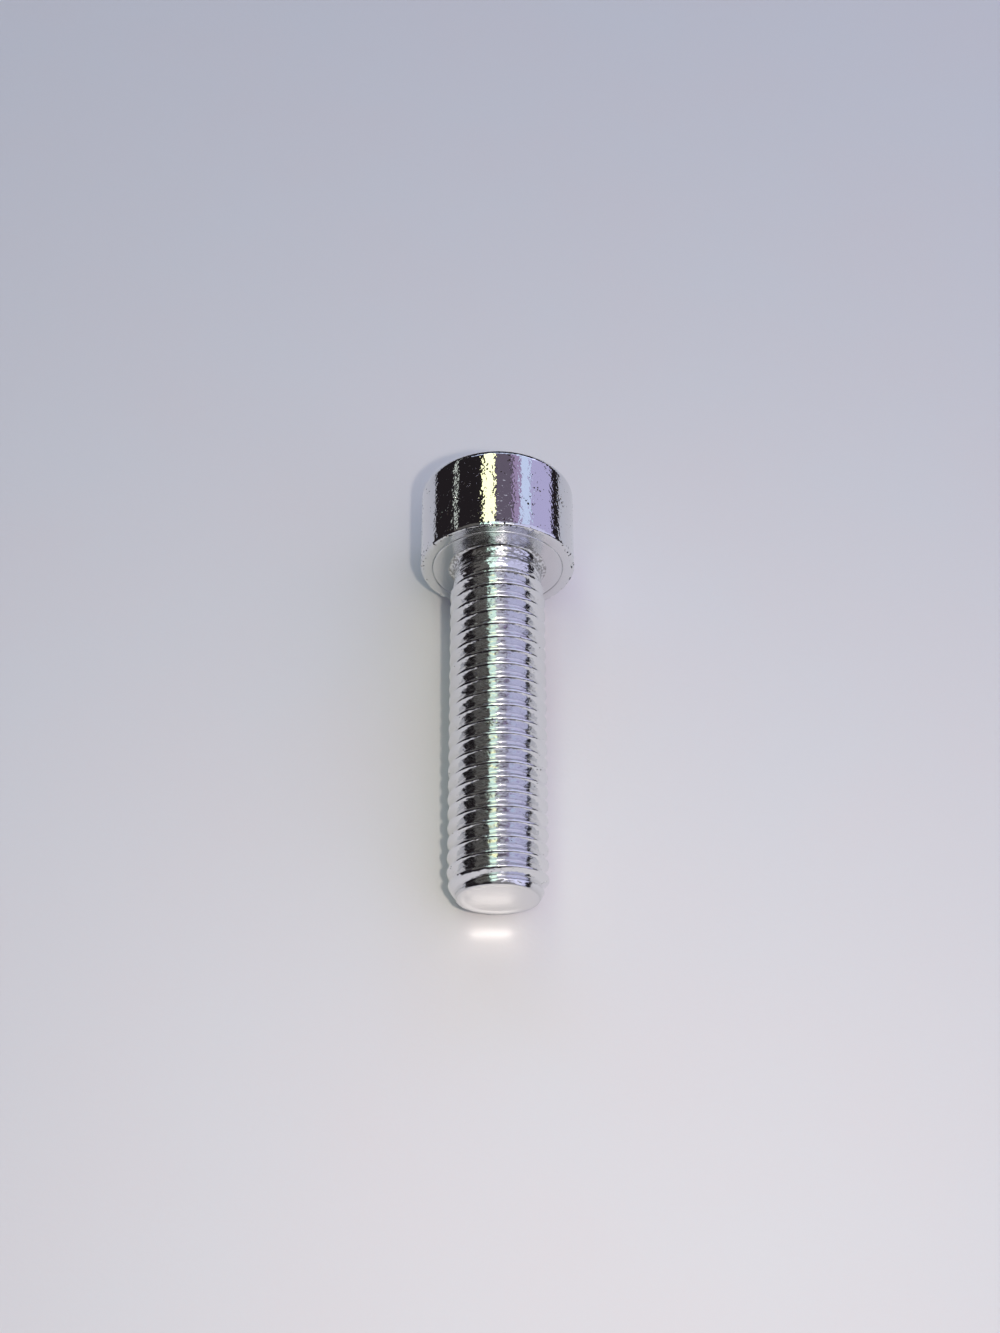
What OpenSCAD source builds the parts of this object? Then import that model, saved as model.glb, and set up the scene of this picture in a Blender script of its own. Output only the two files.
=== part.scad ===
// Hexagon socket head cap screw with a fully threaded shank, lying on a flat surface.
// A screw laid down rests on two points: the edge of its head and the end of its thread.
// Lengths are in millimetres and angles in degrees. The thread itself is too fine to need
// modelling here, so the shank is a plain cylinder of the thread's outside diameter.

/* [Thread] */
// Outside diameter of the thread
thread_d = 8; // [6:0.2:10]
// Length from the bearing face of the head to the end of the screw
screw_l = 30; // [12:1:60]
// Length of the bevel at the end of the thread
bevel_l = 1.2; // [0.6:0.1:2]
// Depth of that bevel, measured on the radius
bevel_depth = 0.75; // [0.4:0.05:1.2]

/* [Head] */
// Diameter of the head
head_d = 13; // [11:0.2:16]
// Height of the head
head_h = 7.7; // [6:0.1:10]
// Radius that rounds the edge at the top of the head
top_round = 0.8; // [0.3:0.1:1.2]
// Radius that rounds the edge of the bearing face
rim_round = 0.2; // [0.1:0.05:0.5]
// Radius of the fillet between the bearing face and the shank
neck_fillet = 0.4; // [0.2:0.05:0.6]

/* [Hexagon socket] */
// Width across the flats
hex_af = 6; // [5:0.5:8]
// Depth of the flats below the top of the head
hex_depth = 4.4; // [3:0.1:5]
// Width of the flat ring around the shallow cone below the flats
cone_edge = 0.2; // [0.1:0.1:1]
// Depth of that cone
cone_depth = 0.4; // [0.2:0.1:0.8]
// Width of the countersink beyond the corners of the hexagon
mouth_edge = 0.15; // [0.1:0.05:0.6]
// Full angle of the countersink
mouth_angle = 120; // [90:5:140]

/* [Hidden] */
$fn = 96;

thread_r = thread_d / 2;
head_r = head_d / 2;
hex_corner_r = hex_af / 2 / cos(30);

// The lowest circle of the head is the centre line of its rim rounding, and the lowest point
// of the shank is the corner where the bevel starts. Their distances along the screw and
// across it set how far the screw leans when both touch the surface.
reach = screw_l - bevel_l + rim_round;
drop = head_r - rim_round - thread_r;
lean = atan(drop / reach) + asin(rim_round / norm([reach, drop]));

// The centre of the bearing face stands this high when the rim touches the surface.
face_z = (head_r - rim_round) * cos(lean) + rim_round - rim_round * sin(lean);

// How far the head and the tip reach from the bearing face, measured along the surface.
head_reach = (head_h - top_round) * cos(lean) + (head_r - top_round) * sin(lean) + top_round;
tip_reach = screw_l * cos(lean) + (thread_r - bevel_depth) * sin(lean);
face_y = (tip_reach - head_reach) / 2;

// Half section of the head: X is the radius, and the bearing face is at zero. The rectangle has
// a rounded edge at its top and a smaller one at the bearing face.
module head_section() {
    square([head_r - top_round, head_h]);
    square([head_r - rim_round, head_h - top_round]);
    translate([0, rim_round]) square([head_r, head_h - top_round - rim_round]);
    translate([head_r - top_round, head_h - top_round]) circle(top_round);
    translate([head_r - rim_round, rim_round]) circle(rim_round);
}

// Half section of the shank. It starts inside the head and ends in the bevel. A circle hollows
// the square step at its neck out to the fillet.
module shank_section() {
    difference() {
        polygon([
            [0, head_h / 4],
            [thread_r + neck_fillet, head_h / 4],
            [thread_r + neck_fillet, -neck_fillet],
            [thread_r, -neck_fillet],
            [thread_r, bevel_l - screw_l],
            [thread_r - bevel_depth, -screw_l],
            [0, -screw_l]
        ]);
        translate([thread_r + neck_fillet, -neck_fillet]) circle(neck_fillet);
    }
}

// The hollow for the key: the hexagon, the cone that its punch leaves, and the countersink.
// The countersink starts inside the hexagon and ends above the head, so that it cuts cleanly.
module socket() {
    clear = 0.4;
    slope = tan(mouth_angle / 2);
    mouth_r = hex_corner_r + mouth_edge;
    translate([0, 0, head_h - hex_depth])
        cylinder(r = hex_corner_r, h = hex_depth + clear, $fn = 6);
    translate([0, 0, head_h - hex_depth - cone_depth])
        cylinder(r1 = 0, r2 = hex_af / 2 - cone_edge, h = cone_depth);
    countersink_low_r = hex_af / 2 - clear;
    countersink_depth = (mouth_r - countersink_low_r) / slope;
    translate([0, 0, head_h - countersink_depth])
        cylinder(r1 = countersink_low_r, r2 = mouth_r + clear * slope, h = countersink_depth + clear);
}

// The whole screw standing on end: axis on Z, bearing face at zero, head above, shank below.
// A revolved surface has a seam. Laid down, the head's seam is underneath and the shank's is on
// top, so the left and right halves stay alike when the round surfaces are cut into facets.
module upright_screw() {
    seam_below = 90;
    seam_above = -90;
    difference() {
        union() {
            rotate([0, 0, seam_below]) rotate_extrude() head_section();
            rotate([0, 0, seam_above]) rotate_extrude() shank_section();
        }
        socket();
    }
}

// The screw laid down along Y, with its tip towards -Y and the middle of its box over the origin.
module cap_screw() {
    color([0.78, 0.78, 0.80])
        translate([0, face_y, face_z])
            rotate([lean - 90, 0, 0])
                upright_screw();
}

cap_screw();
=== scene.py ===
# %% [markdown]
# # A hex socket cap screw, M8 x 30, bright zinc plated
# This lesson builds the looks of one small fastener around its finished CAD model. The real screw starts as
# a length of wire. Blows in a header swell its end into the head, a hexagonal punch presses the socket, and
# two dies roll the thread into the shank without cutting any metal away. It is then plated in a tumbling
# barrel. The CAD model says where everything is and how big it is. Here we make one new surface with the
# rolled thread on it, give it the plating, and light it so that the plating has something to reflect.

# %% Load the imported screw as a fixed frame
import math

import bpy
import numpy as np
from mathutils import Matrix, Vector


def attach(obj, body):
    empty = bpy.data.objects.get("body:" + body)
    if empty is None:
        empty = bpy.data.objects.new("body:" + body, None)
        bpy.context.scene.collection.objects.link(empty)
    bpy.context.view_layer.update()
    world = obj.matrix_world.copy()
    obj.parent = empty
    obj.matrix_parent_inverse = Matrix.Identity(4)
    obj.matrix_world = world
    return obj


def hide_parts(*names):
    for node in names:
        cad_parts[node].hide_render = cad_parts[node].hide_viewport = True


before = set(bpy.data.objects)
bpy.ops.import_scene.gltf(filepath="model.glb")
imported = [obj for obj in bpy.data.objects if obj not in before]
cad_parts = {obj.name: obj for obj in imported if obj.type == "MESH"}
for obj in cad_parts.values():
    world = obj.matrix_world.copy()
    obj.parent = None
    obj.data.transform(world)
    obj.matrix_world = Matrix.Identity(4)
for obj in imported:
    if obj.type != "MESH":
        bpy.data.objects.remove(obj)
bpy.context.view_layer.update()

# %% [markdown]
# ## The sizes
# Standard tables give nearly every size of an M8 cap screw: the 1.25 mm pitch, the 13 mm head, the 6 mm
# hexagon. We keep them in millimetres, as on a drawing, and turn them to metres once, when the mesh is
# made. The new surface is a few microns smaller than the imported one, so that it stays inside its box.

# %% Sizes of the screw, in millimetres
PITCH, CREST_R, ROOT_R = 1.25, 3.97, 3.27
LENGTH, END_R = 30.0, 3.25
BEVEL_L, BEVEL_DEPTH = 1.2, 0.75
HEAD_R, HEAD_H, TOP_ROUND, RIM_ROUND = 6.495, 7.7, 0.8, 0.2
NECK_R, NECK_FILLET = 3.62, 0.5
HEX_AF, HEX_DEPTH, HEX_CORNER_GAP = 6.0, 4.4, 0.15
# Columns round the axis: a multiple of 6, so that each corner of the socket gets one.
AROUND = 144
theta = np.arange(AROUND) * 2 * np.pi / AROUND
print("columns:", AROUND, "each", round(2 * np.pi * HEAD_R / AROUND, 2), "mm wide on the head")

# %% [markdown]
# ## The shape of a rolled thread
# A thread is a ridge wound on a cylinder. It could be made with Blender's Screw modifier, but that leaves
# open ends to mend. Instead the whole screw is one grid: rows go along the axis, columns go round it, and
# the radius at each grid point says whether it is on a crest or in a root. Rolling squeezes metal up from
# both sides, so the crest is round, and a faint seam is left along its middle where the two sides meet.

# %% The ridge of the thread
TAN_60 = 1.732                   # slope of a flank of the thread, and of the countersink
THREAD_SHIFT = 0.22              # turns by which the thread starts later
FLANK_DROP = 0.24                # how far below the root two neighbouring flanks would meet
ROOT_ROUND, CREST_ROUND = 0.035, 0.07
CREST_ROOM = 0.05                # added to the crest, which its rounding takes off again
SEAM_DEPTH, SEAM_WIDTH = 0.03, 0.05
# Below the head comes a stretch of plain blank, and over the run-out the thread rises from it.
BLANK_L, RUN_OUT = 1.2, 1.8
FAINT_RIDGE = 0.1                # share of the ridge that the dies leave even on the blank
SCUFF = 0.028                    # height of the fine rings that the dies leave on the blank under the head
BEVEL_ROUND = 0.03               # rounding of the edge between thread and bevel


def soft_min(a, b, width):
    """The smaller of a and b, with the corner between them rounded over about `width`:
    -w log(e^(-a/w) + e^(-b/w))."""
    return -width * np.logaddexp(-a / width, -b / width)


def ridge(along, angle):
    """Height of the thread above its root, mm. The distance d from the nearest crest is the distance along
    the axis less one pitch per turn. A straight flank is (P/2 - d) * tan 60 less the flank drop. It is
    rounded into the root at 0 and into the crest at the full height, less a narrow bell-shaped seam."""
    turns = along / PITCH + angle / (2 * np.pi) + THREAD_SHIFT
    d = np.abs(turns - np.round(turns)) * PITCH
    full = CREST_R - ROOT_R
    flank = (PITCH / 2 - d) * TAN_60 - FLANK_DROP
    height = -soft_min(-flank, np.zeros_like(flank), ROOT_ROUND)
    height = soft_min(height, np.full_like(flank, full + CREST_ROOM), CREST_ROUND)
    return height - SEAM_DEPTH * np.exp(-(d / SEAM_WIDTH) ** 2)


def shank_radius(along, angle):
    """Radius of the shank `along` mm below the head. Near the head the ridge fades into the plain blank;
    near the tip it is cut by the cone of the bevel, whose radius grows from the end by the bevel's depth
    over its length. Where the ridge has faded stand fine uneven rings: a sine wave each 0.5 mm, one each
    0.21 mm, and a patchy product of two more. The fade is s = 3 t^2 - 2 t^3 over the run-out."""
    fade = np.clip((along - BLANK_L) / RUN_OUT, 0, 1)
    fade = FAINT_RIDGE + (1 - FAINT_RIDGE) * fade * fade * (3 - 2 * fade)
    threaded = NECK_R + fade * (ROOT_R + ridge(along, angle) - NECK_R)
    whole = 2 * np.pi * along
    rings = (np.sin(whole / 0.5 + angle) + 0.6 * np.sin(whole / 0.21 - 2 * angle)
             + 0.9 * np.sin(whole / 0.37 + 7 * angle) * np.sin(whole / 0.6 - 11 * angle))
    threaded = threaded + (1 - fade) * SCUFF * rings
    cone = END_R + (LENGTH - along) * BEVEL_DEPTH / BEVEL_L
    return soft_min(threaded, cone, BEVEL_ROUND)


one_turn = shank_radius(np.linspace(10, 10 + PITCH, 241), 0.0)
print("thread, mm: crest", round(float(one_turn.max()), 3), "root", round(float(one_turn.min()), 3))

# %% [markdown]
# ## One closed surface
# Every stretch of the screw is a list of rows, and a row is a height and a radius at each column. Heights
# count up from the bearing face, so the head is above zero and the shank below. The two ends close in a
# single point each: the middle of the tip, and the middle of the shallow cone that the punch leaves at the
# bottom of the socket.

# %% How the rows are collected, from the tip to the bottom of the socket
rows_z, rows_r, rows_kind = [], [], []
BARREL, TURNED, SOCKET, ROLLED = 0, 1, 2, 3


def add_rows(z, r, kind):
    """Adds rows at heights z with radii r, mm. Each is one number a row, or a table of rows by columns."""
    z, r = (np.atleast_1d(np.asarray(v, float)) for v in (z, r))
    count = max(len(z), len(r))
    for values, store in ((z, rows_z), (r, rows_r)):
        table = values if values.ndim == 2 else np.broadcast_to(values[:, None], (len(values), AROUND))
        store.append(np.broadcast_to(table, (count, AROUND)))
    rows_kind.extend([kind] * count)


def quarter(count, start, end):
    """Angles of an arc as a column of `count` values from start to end, in degrees, as radians."""
    return np.radians(np.linspace(start, end, count))


print("kinds of surface, barrel to rolled:", BARREL, TURNED, SOCKET, ROLLED)

# %% [markdown]
# ## The tip, the shank and the neck
# The end of the shank is flat with a shallow dish, and the bevel lets the thread start into a nut. The
# thread is the part that the eye rests on, so it gets 24 rows a pitch: with fewer its crests would look
# like ribbons. Where the shank meets the head, a fillet keeps the screw from cracking when it is tightened.

# %% Rows of the tip, the shank and the neck fillet
# The tip: a flat end with a shallow dish inside a narrow land.
DISH_R, DISH_EDGE, DISH_DEPTH = 2.85, 0.2, 0.07
end_r = np.array([0.5, 1.1, 1.7, 2.2, 2.5, 2.65, 2.75, 2.85, 3.0, 3.12, 3.18])
dish = DISH_DEPTH * np.clip((DISH_R - end_r) / DISH_EDGE, 0, 1)
add_rows(-LENGTH + dish, end_r, TURNED)

# The shank: 24 rows a pitch, up to the start of the neck fillet.
along = np.arange(LENGTH - 0.02, NECK_FILLET, -PITCH / 24)
grid_along, grid_theta = np.meshgrid(along, theta, indexing="ij")
add_rows(-grid_along, shank_radius(grid_along, grid_theta), ROLLED)

# The neck fillet: a quarter circle from the shank out to the bearing face.
arc = quarter(7, 0, 90)[1:]
add_rows(-NECK_FILLET * (1 - np.sin(arc)), NECK_R + NECK_FILLET * (1 - np.cos(arc)), ROLLED)
print("rows up to the bearing face:", len(rows_kind))

# %% [markdown]
# ## The bearing face and the head
# The face under the head is what presses on the clamped part. The head itself could be a cylinder with a
# Bevel modifier, but the two edges differ: metal doesn't flow into the corners of the header's die, so the
# top edge is well rounded, while the rim is nearly sharp and takes the knocks of the plating barrel.

# %% Rows of the bearing face and the head
# The bearing face: flat, with a fine turned groove near its rim. Outside the groove it stands back by the
# ledge, so the ring inside it is what bears on the clamped part.
GROOVE_R, GROOVE_DEPTH, GROOVE_WIDTH, LEDGE = 5.49, 0.11, 0.035, 0.02
face_r = np.array([4.2, 4.35, 4.55, 4.8, 5.1, 5.34, 5.40, 5.43, 5.46,
                   5.49, 5.52, 5.55, 5.60, 5.66, 5.8, 6.0, 6.2])
groove = GROOVE_DEPTH * np.exp(-((face_r - GROOVE_R) / GROOVE_WIDTH) ** 2) + LEDGE * (face_r > GROOVE_R)
add_rows(groove, face_r, TURNED)

# The rim, the side of the head and the rounded top edge. Knocks in the plating barrel have left nicks, up
# to 0.09 mm deep, in nearly a third of the rim.
NICK_DEPTH = 0.09
chance = np.random.default_rng(8)
nicks = NICK_DEPTH * np.clip(chance.normal(0, 1, AROUND) - 0.6, 0, 1)
arc = quarter(6, -90, 0)[:, None]
add_rows(RIM_ROUND * (1 + np.sin(arc)) + LEDGE + nicks * np.sin(arc) ** 2,
         HEAD_R - RIM_ROUND * (1 - np.cos(arc)) - nicks * np.cos(arc) ** 2 * (arc < -0.3), BARREL)
add_rows(np.linspace(0.35, HEAD_H - TOP_ROUND - 0.1, 14), HEAD_R, BARREL)
arc = quarter(10, 0, 90)
add_rows(HEAD_H - TOP_ROUND * (1 - np.sin(arc)), HEAD_R - TOP_ROUND * (1 - np.cos(arc)), BARREL)
print("nicked columns of the rim:", int((nicks > 0).sum()), "of", AROUND)

# %% [markdown]
# ## The socket
# The socket could be cut with a Boolean modifier, but the same grid can hold it. On a flat wall, the radius
# is half the width across flats over the cosine of the angle from the middle of the wall, so only the
# radius changes from column to column. Above the walls is a countersink that guides the key in, and below
# them is the cone that the punch leaves.

# %% Rows of the flat top and the socket
# The flat top, the countersink, and the six walls of the socket.
CONE_DEPTH = 0.4
hex_r = (HEX_AF / 2) / np.cos(np.mod(theta, np.pi / 3) - np.pi / 6)
mouth_r = hex_r.max() + HEX_CORNER_GAP
add_rows(HEAD_H, np.linspace(HEAD_R - TOP_ROUND - 0.1, mouth_r + 0.05, 6), BARREL)
add_rows(HEAD_H, mouth_r, BARREL)
wall_top = HEAD_H - (mouth_r - hex_r) / TAN_60
wall_share = np.linspace(0, 1, 12)[:, None]
add_rows(wall_top * (1 - wall_share) + (HEAD_H - HEX_DEPTH) * wall_share,
         hex_r[None, :] + 0 * wall_share, SOCKET)

# The bottom of the socket: a narrow land inside the hexagon, and then the cone.
shrink = np.array([0.97, 0.94])[:, None]
add_rows(HEAD_H - HEX_DEPTH, hex_r[None, :] * shrink, SOCKET)
cone_r = np.array([2.8, 2.1, 1.4, 0.7])
add_rows(HEAD_H - HEX_DEPTH - CONE_DEPTH * (1 - cone_r / cone_r[0]), cone_r, SOCKET)

Z, R = np.concatenate(rows_z), np.concatenate(rows_r)
kinds = np.array(rows_kind)
print("rows:", len(Z), "triangles:", 2 * AROUND * len(Z))

# %% [markdown]
# ## Laying the screw down
# A cap screw left on a table lies on two places: the rim of its head, and the last turn of its thread. That
# makes the axis lean by just under five degrees. The lean is worked out from the sizes, as the CAD model
# does it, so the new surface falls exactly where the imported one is. The rim is a circle of its rounding's
# radius, the end of the thread is a point, and the floor is the line that touches both.

# %% The lean, and the places of the bearing face
CAD_HEAD_R, CAD_THREAD_R = 6.5, 4.0
reach = LENGTH - BEVEL_L + RIM_ROUND
drop = CAD_HEAD_R - RIM_ROUND - CAD_THREAD_R
lean = math.atan(drop / reach) + math.asin(RIM_ROUND / math.hypot(reach, drop))
face_z = (HEAD_R - RIM_ROUND) * math.cos(lean) + RIM_ROUND - RIM_ROUND * math.sin(lean)
head_reach = (HEAD_H - TOP_ROUND) * math.cos(lean) + (HEAD_R - TOP_ROUND) * math.sin(lean) + TOP_ROUND
tip_reach = LENGTH * math.cos(lean) + END_R * math.sin(lean)
face_y = (tip_reach - head_reach) / 2
print("lean:", round(math.degrees(lean), 3), "degrees")
print("middle of the bearing face, mm: y", round(face_y, 3), "z", round(face_z, 3))


def lay_down(points):
    """Turns upright points, mm, about the x axis by the lean less 90 degrees and lifts them into place, as
    metres: y' = y cos - z sin + face_y and z' = y sin + z cos + face_z."""
    turn = lean - math.pi / 2
    x, y, z = points.T
    return np.stack([x, y * math.cos(turn) - z * math.sin(turn) + face_y,
                     y * math.sin(turn) + z * math.cos(turn) + face_z], axis=1) / 1000


# %% [markdown]
# ## From rows to a mesh
# The rows could be given to Blender as a curve to spin, but a spun shape has the same outline all the way
# round. Thread, nicks and hexagon differ from column to column, so the grid is joined up here, one quad
# between each two rows and columns. It closes on itself, so its volume can be measured, and steel of that
# volume gives the weight.

# %% The mesh of the screw
STEEL_G_PER_MM3 = 7.85e-3


def grid_mesh(name, ring_points, low_pole, high_pole):
    """A closed mesh from rows of points round an axis. Each row joins the next with quads whose last column
    meets the first, and a fan of triangles closes each end on its pole."""
    count, around = ring_points.shape[:2]
    column = np.arange(around)
    after = (column + 1) % around
    start = (np.arange(count - 1) * around)[:, None]
    above = start + around
    quads = np.stack([start + column, start + after, above + after, above + column], axis=-1)
    quads = quads.reshape(-1, 4)
    low, high = count * around, count * around + 1
    last = (count - 1) * around
    fans = np.concatenate([np.stack([np.full(around, low), after, column], axis=1),
                           np.stack([np.full(around, high), last + column, last + after], axis=1)])
    points = np.concatenate([ring_points.reshape(-1, 3), [low_pole], [high_pole]])
    mesh = bpy.data.meshes.new(name)
    mesh.from_pydata(lay_down(points).tolist(), [], quads.tolist() + fans.tolist())
    mesh.validate()
    return mesh


ring_points = np.stack([R * np.cos(theta), R * np.sin(theta), Z], axis=-1)
screw_mesh = grid_mesh("threaded_cap_screw", ring_points,
                       (0, 0, -LENGTH + DISH_DEPTH), (0, 0, HEAD_H - HEX_DEPTH - CONE_DEPTH))
screw = bpy.data.objects.new("threaded_cap_screw", screw_mesh)
bpy.context.scene.collection.objects.link(screw)


def volume_mm3(mesh):
    """Volume inside a closed mesh, mm3: a sixth of the sum of each triangle's corner product. Positive if
    the faces point outwards."""
    mesh.calc_loop_triangles()
    corners = np.empty(len(mesh.loop_triangles) * 3, np.int64)
    mesh.loop_triangles.foreach_get("vertices", corners)
    places = np.empty(len(mesh.vertices) * 3)
    mesh.vertices.foreach_get("co", places)
    a, b, c = places.reshape(-1, 3)[corners.reshape(-1, 3)].transpose(1, 0, 2)
    return float(np.einsum("ij,ij->", a, np.cross(b, c)) / 6 * 1e9)


volume = volume_mm3(screw_mesh)
print("volume:", round(volume, 1), "mm3, steel mass:", round(volume * STEEL_G_PER_MM3, 2), "g")

# %% [markdown]
# ## Shading: soft where it was rolled, crisp where it was punched
# All faces are shaded smooth, and only edges that turn by more than a set angle are kept sharp. Those are
# the edges of the hexagon and the edge of the tip.

# %% Smooth shading with sharp edges
SHARP_ANGLE = 48                 # degrees
screw_mesh.shade_smooth()
screw_mesh.set_sharp_from_angle(angle=math.radians(SHARP_ANGLE))
face_kind = np.concatenate([np.repeat(kinds[1:], AROUND), np.full(AROUND, TURNED), np.full(AROUND, SOCKET)])
screw_mesh.polygons.foreach_set("material_index", face_kind.astype(np.int32))
print("faces of each kind, barrel to rolled:", np.bincount(face_kind).tolist())

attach(screw, "root")
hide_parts("cap_screw")


# %% [markdown]
# ## Helpers for materials
# A node needs settings and links, and writing them out one by one hides the idea. One small function adds
# any node with both. Colours are written as the sRGB hex values that a paint chart gives, and one function
# makes them linear, as Blender's shaders want them.

# %% Adding nodes and reading colours
def linear(hex_colour, alpha=1.0):
    """The linear colour of an sRGB hex value: v / 12.92 up to 0.04045, and above it
    ((v + 0.055) / 1.055) ^ 2.4."""
    v = np.array([int(hex_colour[i:i + 2], 16) for i in (1, 3, 5)]) / 255
    low = v / 12.92
    high = ((v + 0.055) / 1.055) ** 2.4
    return (*np.where(v <= 0.04045, low, high).tolist(), alpha)


def add_node(tree, kind, settings=None, **inputs):
    """Adds a node. settings are its properties; each input is a value for its socket, or a socket to link
    from. An input is named as on the node, with _ for a space, or i0, i1 ... for the first, second ...
    socket. Where several sockets share a name, the one that the settings have switched on is meant."""
    node = tree.nodes.new(kind)
    for key, value in (settings or {}).items():
        setattr(node, key, value)
    for key, value in inputs.items():
        if key[0] == "i" and key[1:].isdigit():
            socket = node.inputs[int(key[1:])]
        else:
            socket = next(s for s in node.inputs if s.name == key.replace("_", " ") and s.enabled)
        if isinstance(value, bpy.types.NodeSocket):
            tree.links.new(value, socket)
        else:
            socket.default_value = value
    return node


def new_material(name):
    """An empty node material with its output node."""
    material = bpy.data.materials.new(name)
    material.use_nodes = True
    material.node_tree.nodes.clear()
    return material, material.node_tree, material.node_tree.nodes.new("ShaderNodeOutputMaterial")


# %% [markdown]
# ## Bright zinc plate on steel
# The plating is a film of metal about a hundredth of a millimetre thick. It mirrors the room, but it isn't
# flat: it keeps the soft ripple of the steel under it, about a third of a millimetre from crest to crest,
# like orange peel. Barrel plating also leaves pits where parts knocked together. The pattern is laid out in
# the screw's own upright coordinates, so a Mapping node turns the lying screw back up. All the relief goes
# through one Bump node, because a finer one behind it would smear the stripes that the metal mirrors. The
# four finishes differ only in numbers: the headed barrel is the brightest, the turned faces have fine
# rings, the rolled thread is grainier, and the punched socket is the dullest.

# %% Zinc plate for each way the steel was worked
def upright(tree):
    """Object coordinates turned back to the upright screw, in metres, with the bearing face at height 0."""
    place = add_node(tree, "ShaderNodeTexCoord").outputs["Object"]
    turned = add_node(tree, "ShaderNodeMapping", {"vector_type": "TEXTURE"}, Vector=place,
                      Location=(0, face_y / 1000, face_z / 1000), Rotation=(lean - math.pi / 2, 0, 0))
    return turned.outputs["Vector"]


def zinc(name, smooth, dull, peel_height, grain_height, round_it=1.0, rings=0.0, root_shade=0.0, scuffing=1.0,
         pits=0.0, wear=0.0, corner_shade=0.0):
    """Plated steel. Its roughness wanders with the grain between smooth and dull. Heights of the orange
    peel, the grain and the turning rings are in metres. round_it is below 1 where the pattern is drawn out
    round the screw, root_shade how dark the painted shade in the roots of the thread is, scuffing how many
    times deeper the relief is just under the head, pits the size of the largest pits, wear how much more
    pitted the rim of the head is, and corner_shade how dark the painted shade in the corner under the head
    is."""
    material, tree, output = new_material(name)
    place = upright(tree)
    flat = add_node(tree, "ShaderNodeVectorMath", {"operation": "MULTIPLY"}, i0=place, i1=(1, 1, 0))
    radius = add_node(tree, "ShaderNodeVectorMath", {"operation": "LENGTH"}, i0=flat.outputs[0])
    height = add_node(tree, "ShaderNodeSeparateXYZ", Vector=place).outputs["Z"]
    drawn = add_node(tree, "ShaderNodeVectorMath", {"operation": "MULTIPLY"}, i0=place,
                     i1=(round_it, round_it, 1))

    # Orange peel: soft bumps 0.3 mm apart and nothing finer, so that the stripes keep crisp edges.
    peel = add_node(tree, "ShaderNodeTexNoise", Vector=drawn.outputs[0], Scale=1 / 0.0003, Detail=1,
                    Roughness=0.45)
    # Grain of the plating: real crystals are microns across, drawn here at 0.15 mm so that they show.
    grain = add_node(tree, "ShaderNodeTexNoise", Vector=drawn.outputs[0], Scale=1 / 0.00015, Detail=1,
                     Roughness=0.5)
    relief = add_node(tree, "ShaderNodeMath", {"operation": "MULTIPLY"}, i0=grain.outputs[0],
                      i1=grain_height)
    relief = add_node(tree, "ShaderNodeMath", {"operation": "MULTIPLY_ADD"}, i0=peel.outputs[0],
                      i1=peel_height, i2=relief.outputs[0])
    # Under the head the dies only scuff the blank, so the relief is deeper there by the scuffing.
    scuff = add_node(tree, "ShaderNodeMapRange", Value=height, From_Min=-0.0034, From_Max=-0.0020,
                     To_Min=1.0, To_Max=scuffing)
    relief = add_node(tree, "ShaderNodeMath", {"operation": "MULTIPLY"}, i0=relief.outputs[0],
                      i1=scuff.outputs[0])
    if rings:
        # Turning rings: noise that depends only on the distance from the axis, a ring each 0.15 mm.
        ring = add_node(tree, "ShaderNodeTexNoise", {"noise_dimensions": "1D"}, W=radius.outputs["Value"],
                        Scale=1 / 0.00015, Detail=2)
        relief = add_node(tree, "ShaderNodeMath", {"operation": "MULTIPLY_ADD"}, i0=ring.outputs[0],
                          i1=rings, i2=relief.outputs[0])
    # Pits from the tumbling barrel: 0.01 mm deep, 0.3 mm apart, in patches 1.5 mm wide. There are more of
    # them by the rim of the head, and on a worn line that runs round it 4.1 mm up.
    cells = add_node(tree, "ShaderNodeTexVoronoi", Vector=place, Scale=1 / 0.0003)
    patch = add_node(tree, "ShaderNodeTexNoise", Vector=place, Scale=1 / 0.0015, Detail=2)
    by_rim = add_node(tree, "ShaderNodeMapRange", Value=height, From_Min=0.0002, From_Max=0.0009,
                      To_Min=0.12, To_Max=0.0)
    from_scar = add_node(tree, "ShaderNodeMath", {"operation": "SUBTRACT"}, i0=height, i1=0.0041)
    from_scar = add_node(tree, "ShaderNodeMath", {"operation": "ABSOLUTE"}, i0=from_scar.outputs[0])
    by_scar = add_node(tree, "ShaderNodeMapRange", Value=from_scar.outputs[0], From_Min=0.0001,
                       From_Max=0.0004, To_Min=0.13, To_Max=0.0)
    worn = add_node(tree, "ShaderNodeMath", {"operation": "MAXIMUM"}, i0=by_rim.outputs[0],
                    i1=by_scar.outputs[0])
    worn = add_node(tree, "ShaderNodeMath", {"operation": "MULTIPLY_ADD"}, i0=worn.outputs[0], i1=wear,
                    i2=patch.outputs[0])
    pit_size = add_node(tree, "ShaderNodeMapRange", Value=worn.outputs[0], From_Min=0.45, From_Max=0.72,
                        To_Min=0.0, To_Max=pits)
    pit = add_node(tree, "ShaderNodeMath", {"operation": "LESS_THAN"}, i0=cells.outputs["Distance"],
                   i1=pit_size.outputs[0])
    relief = add_node(tree, "ShaderNodeMath", {"operation": "MULTIPLY_ADD"}, i0=pit.outputs[0], i1=-0.00001,
                      i2=relief.outputs[0])
    normal = add_node(tree, "ShaderNodeBump", Height=relief.outputs[0], Distance=1.0, Strength=1.0)

    rough = add_node(tree, "ShaderNodeMapRange", Value=grain.outputs[0], From_Min=0.4, From_Max=0.65,
                     To_Min=smooth, To_Max=dull)
    rough = add_node(tree, "ShaderNodeMath", {"operation": "MAXIMUM"}, i0=rough.outputs[0],
                     i1=pit.outputs[0])
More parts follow.
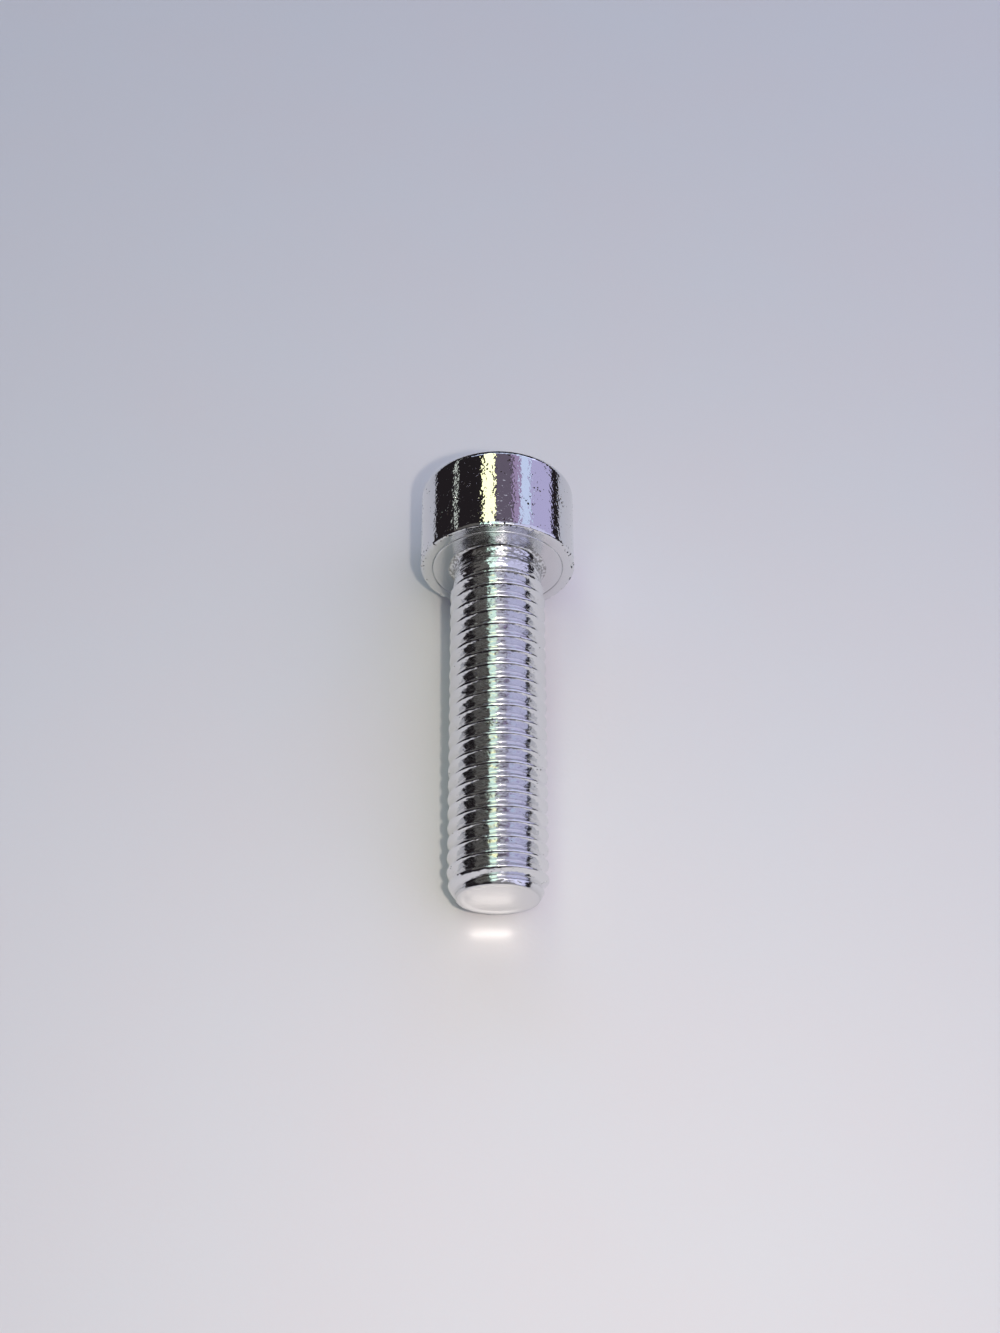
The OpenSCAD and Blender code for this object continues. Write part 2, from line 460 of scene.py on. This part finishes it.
    # Painted shade darkens the roots of the thread, 3.3 mm from the axis. The pits are dark marks and are
    # darkened too.
    root = add_node(tree, "ShaderNodeMapRange", Value=radius.outputs["Value"], From_Min=0.0033,
                    From_Max=0.00345, To_Min=root_shade, To_Max=0.0)
    dark = add_node(tree, "ShaderNodeMath", {"operation": "MAXIMUM"}, i0=root.outputs[0],
                    i1=pit.outputs[0])
    # Painted shade, brown and in grains, darkens the corner under the head.
    corner = add_node(tree, "ShaderNodeMapRange", Value=height, From_Min=-0.0020, From_Max=-0.0005,
                      To_Min=0.0, To_Max=corner_shade)
    speck = add_node(tree, "ShaderNodeMapRange", Value=grain.outputs[0], From_Min=0.44, From_Max=0.56)
    corner_shade_specks = add_node(tree, "ShaderNodeMath", {"operation": "MULTIPLY"}, i0=corner.outputs[0],
                    i1=speck.outputs[0])
    dark = add_node(tree, "ShaderNodeMath", {"operation": "MAXIMUM"}, i0=dark.outputs[0],
                    i1=corner_shade_specks.outputs[0])
    # The mix turns the zinc towards brown #4C443C. This is painted shade in the thread roots and in the
    # corner under the head, and the dark colour of the pits.
    tint = add_node(tree, "ShaderNodeMix", {"data_type": "RGBA"}, Factor=dark.outputs[0],
                    A=linear("#E4E5E6"), B=linear("#4C443C"))
    skin = add_node(tree, "ShaderNodeBsdfPrincipled", Base_Color=tint.outputs["Result"], Metallic=1.0,
                    Roughness=rough.outputs[0], Normal=normal.outputs[0])
    tree.links.new(skin.outputs[0], output.inputs["Surface"])
    return material


finishes = {BARREL: zinc("bright_zinc_on_headed_barrel", 0.045, 0.07, 0.000020, 0.000001,
                         pits=0.34, wear=1.0),
            TURNED: zinc("bright_zinc_on_turned_face", 0.14, 0.24, 0.000002, 0.000002, rings=0.000005),
            SOCKET: zinc("bright_zinc_in_punched_socket", 0.25, 0.35, 0.000008, 0.000004),
            # The rolled thread gets painted shade in its roots and in the corner under the head.
            ROLLED: zinc("bright_zinc_on_rolled_thread", 0.08, 0.20, 0.000024, 0.000008, round_it=0.5,
                         root_shade=0.15, scuffing=1.4, pits=0.2, corner_shade=0.6)}
for kind in sorted(finishes):
    screw_mesh.materials.append(finishes[kind])
print("materials:", [m.name for m in screw_mesh.materials])

# %% [markdown]
# ## The paper it lies on
# Bright metal mostly shows its surroundings, so the floor matters. The screw lies on a small sheet of pale
# paper. Beyond it the floor is the same to the eye, but the metal doesn't reflect it, as if black card
# stood round the sheet. That draws the dark lines that make bright metal look like metal. The floor is a
# hundredth of a millimetre below the sheet, so that the sheet throws no line of shadow on it.

# %% The sheet and the floor beyond it
def flat_sheet(name, low, high, z):
    """A flat rectangle between two corners, metres, facing up."""
    mesh = bpy.data.meshes.new(name)
    corners = [(low[0], low[1], z), (high[0], low[1], z), (high[0], high[1], z), (low[0], high[1], z)]
    mesh.from_pydata(corners, [], [(0, 1, 2, 3)])
    sheet = bpy.data.objects.new(name, mesh)
    bpy.context.scene.collection.objects.link(sheet)
    return sheet


paper, tree, output = new_material("matt_pale_paper")
place = add_node(tree, "ShaderNodeTexCoord").outputs["Object"]
# Paper fibres clump over about 0.4 mm.
fibre = add_node(tree, "ShaderNodeTexNoise", Vector=place, Scale=1 / 0.0004, Detail=3)
# Its tone drifts from warm to cool over a couple of centimetres.
cloud = add_node(tree, "ShaderNodeTexNoise", Vector=place, Scale=1 / 0.017, Detail=2)
blend = add_node(tree, "ShaderNodeMath", {"operation": "MULTIPLY_ADD"}, i0=fibre.outputs[0], i1=0.6,
                 i2=cloud.outputs[0])
tone = add_node(tree, "ShaderNodeMix", {"data_type": "RGBA"}, Factor=blend.outputs[0],
                A=linear("#E2DADA"), B=linear("#DFDDDE"))
bump = add_node(tree, "ShaderNodeBump", Height=fibre.outputs[0], Distance=0.00002, Strength=0.5)
skin = add_node(tree, "ShaderNodeBsdfPrincipled", Base_Color=tone.outputs["Result"], Roughness=0.85,
                Specular_IOR_Level=0.2, Normal=bump.outputs[0])
tree.links.new(skin.outputs[0], output.inputs["Surface"])

sheet = flat_sheet("paper_sheet", (-0.047, -0.14), (0.055, 0.10), 0.0)
floor = flat_sheet("floor", (-0.5, -0.5), (0.5, 0.5), -0.00001)
for stage in (sheet, floor):
    stage.data.materials.append(paper)
floor.visible_glossy = False
print("under the screw:", sheet.name, "and", floor.name)

# %% [markdown]
# ## Light
# A lamp the size of a pea stands beside the camera, about 11 cm from the screw. It gives the crisp shadow
# behind the head and most of the light on the paper. The soft light comes from long panels that run the way
# the screw lies, like windows seen from a table. Each one draws a stripe along the metal: a narrow mint and
# lemon one just left of straight up, a pale one just right of it, and wide violet ones down the right-hand
# side. Between them the metal mirrors the dim room, and that gives the dark stripes.

# %% Adding lamps and panels
def add_lamp(name, kind, place, colour, watts, target=None, **shape):
    """A lamp at a place, metres, that the camera doesn't see. One with a target shines along its own -z at
    it, and keeps its long side along y: its axes are back = place - target, side = y x back, ahead = back x
    side."""
    light = bpy.data.lights.new(name, kind)
    light.color, light.energy = linear(colour)[:3], watts
    for key, value in shape.items():
        setattr(light, key, value)
    lamp = bpy.data.objects.new(name, light)
    bpy.context.scene.collection.objects.link(lamp)
    lamp.location = place
    if target is not None:
        back = (Vector(place) - Vector(target)).normalized()
        side = Vector((0, 1, 0)).cross(back).normalized()
        turn = Matrix((side, back.cross(side), back)).transposed()
        lamp.rotation_euler = turn.to_euler()
    lamp.visible_camera = False
    return lamp


def panel(name, low, high, near, far, distance, colour, radiance):
    """A panel between two tilts from straight up towards +x, in degrees, and between two slopes along y:
    near and far times its distance. Its width is 2 d tan(half the angle), and its power is radiance times
    pi times area."""
    middle, half = math.radians((low + high) / 2), math.radians((high - low) / 2)
    width, length = 2 * distance * math.tan(half), distance * (far - near)
    y = distance * (near + far) / 2
    return add_lamp(name, "AREA", (distance * math.sin(middle), y, distance * math.cos(middle)), colour,
                    radiance * math.pi * width * length, target=(0.0, y, 0.005),
                    shape="RECTANGLE", size=width, size_y=length)


small_lamp = add_lamp("lamp_by_the_camera", "POINT", (0.0115, -0.0595, 0.0965), "#FFF4E2", 0.171,
                      shadow_soft_size=0.002)
print("small lamp, mm from the screw:", round(1000 * small_lamp.location.length))

# %% [markdown]
# ## The panels behind the stripes
# A panel is placed by the tilt at which it stands and by the slopes along the screw between which it
# reaches. The shank mirrors slopes up to about half, and the side of the head steeper ones, so a stripe can
# have one colour on the shank and another on the head. A bigger panel would only widen its stripe, so the
# tilts are what to change.

# %% Panels, with tilts in degrees and distances in metres
ON_SHANK, ON_HEAD = (-0.9, 0.5), (0.5, 1.4)
panel("mint_strip", -20.5, -2.5, *ON_SHANK, 1.0, "#E0FFF2", 1.35)
panel("lemon_strip", -20, -4, *ON_HEAD, 1.0, "#FFFFCC", 1.7)
panel("pale_panel", -2, 21, *ON_SHANK, 1.0, "#ECECFF", 0.78)
panel("dim_violet_panel", -2, 21, *ON_HEAD, 1.0, "#DECCF0", 0.17)
panel("violet_window", 22, 83, *ON_SHANK, 0.6, "#D8D8FC", 0.94)
panel("mauve_edge", 22, 33, *ON_HEAD, 1.0, "#D4BCEC", 0.55)
panel("blue_white_window", 33, 48, *ON_HEAD, 1.0, "#D0DEFF", 1.0)
panel("violet_head_window", 48, 85, *ON_HEAD, 0.6, "#D0CAFA", 0.76)
panel("moss_panel", -62, -22, *ON_SHANK, 1.0, "#ECE8E0", 0.12)
panel("thin_streak", -64, -60.5, *ON_HEAD, 1.0, "#E8F0E8", 0.8)

# %% [markdown]
# ## Soft light and glow
# The stripes alone would leave the paper grey and the shadows black, so large soft panels fill them. Cycles
# could trace the light that the bright end of the screw throws on the paper, but it needs many samples to
# find it. Two tiny panels that the metal doesn't mirror do it instead.

# %% Soft panels and the glow before the tip
# Soft panels: one high in front whitens the crests, one low in front fills the shadows, and two are behind.
# The deep one behind makes the shadows blue, and only the shallow one shows in the metal, as the line on
# the top edge.
add_lamp("high_front_fill", "AREA", (0.13, -0.28, 0.6), "#FAF6F8", 2.3 * math.pi * 0.24 * 0.18,
         target=(0.0, 0.0, 0.0), shape="RECTANGLE", size=0.24, size_y=0.18)
add_lamp("front_fill", "AREA", (0.22, -0.5, 0.34), "#E4E2E8", 0.33 * math.pi * 0.8 * 0.5,
         target=(0.0, 0.0, 0.0), shape="RECTANGLE", size=0.8, size_y=0.5)
back_fill = add_lamp("back_fill", "AREA", (0.0, 0.75, 0.42), "#5C92FF", 1.35 * math.pi * 1.1 * 0.3,
                     target=(0.0, 0.0, 0.0), shape="RECTANGLE", size=1.1, size_y=0.3)
back_fill.visible_glossy = False
add_lamp("edge_light", "AREA", (0.1, 0.75, 0.42), "#CCD8F6", 1.1 * math.pi * 1.1 * 0.16,
         target=(0.0, 0.0, 0.0), shape="RECTANGLE", size=1.1, size_y=0.16)
# Light that the bright end of the screw throws onto the paper before it: a small glow in a faint wide one.
for name, y, z, watts, wide, deep in (("glow_before_the_tip", -0.01995, 0.0004, 0.0000050, 0.0032, 0.0006),
                                      ("faint_glow", -0.0205, 0.0010, 0.0000050, 0.0048, 0.0024)):
    glow = add_lamp(name, "AREA", (-0.00055, y, z), "#FFF8F0", watts, target=(-0.00055, y, 0.0),
                    shape="RECTANGLE", size=wide, size_y=deep)
    glow.visible_glossy = False

# %% [markdown]
# ## The room
# The camera sees a pale wall behind the floor, and the metal mirrors the dim room that lets the panels
# stand out. A Light Path node tells one from the other.

# %% The room round the screw
world = bpy.data.worlds.new("room")
world.use_nodes = True
wall = add_node(world.node_tree, "ShaderNodeLightPath").outputs["Is Camera Ray"]
tint = add_node(world.node_tree, "ShaderNodeMix", {"data_type": "RGBA"}, Factor=wall,
                A=linear("#242023"), B=linear("#C4C4CE"))
room = world.node_tree.nodes["Background"]
room.inputs["Strength"].default_value = 1.0
world.node_tree.links.new(tint.outputs["Result"], room.inputs["Color"])
bpy.context.scene.world = world
bpy.context.scene.view_settings.view_transform = "Standard"
print("room:", world.name, "with view transform", bpy.context.scene.view_settings.view_transform)

# %% [markdown]
# ## The camera
# It looks down at the screw from the side of its tip, about 61 degrees below the horizon, from 13 cm away.

# %% Camera
camera_data = bpy.data.cameras.new("camera")
camera_data.lens, camera_data.sensor_width = 41.51, 36.0
camera_data.shift_y = 0.1302
camera_data.clip_start = 0.005
camera = bpy.data.objects.new("camera", camera_data)
camera.location = (0.00005, -0.07141, 0.10968)
camera.rotation_euler = (math.radians(28.624), 0.0, math.radians(-0.11))
bpy.context.scene.collection.objects.link(camera)
bpy.context.scene.camera = camera
print("camera, mm from the screw:", round(1000 * camera.location.length))
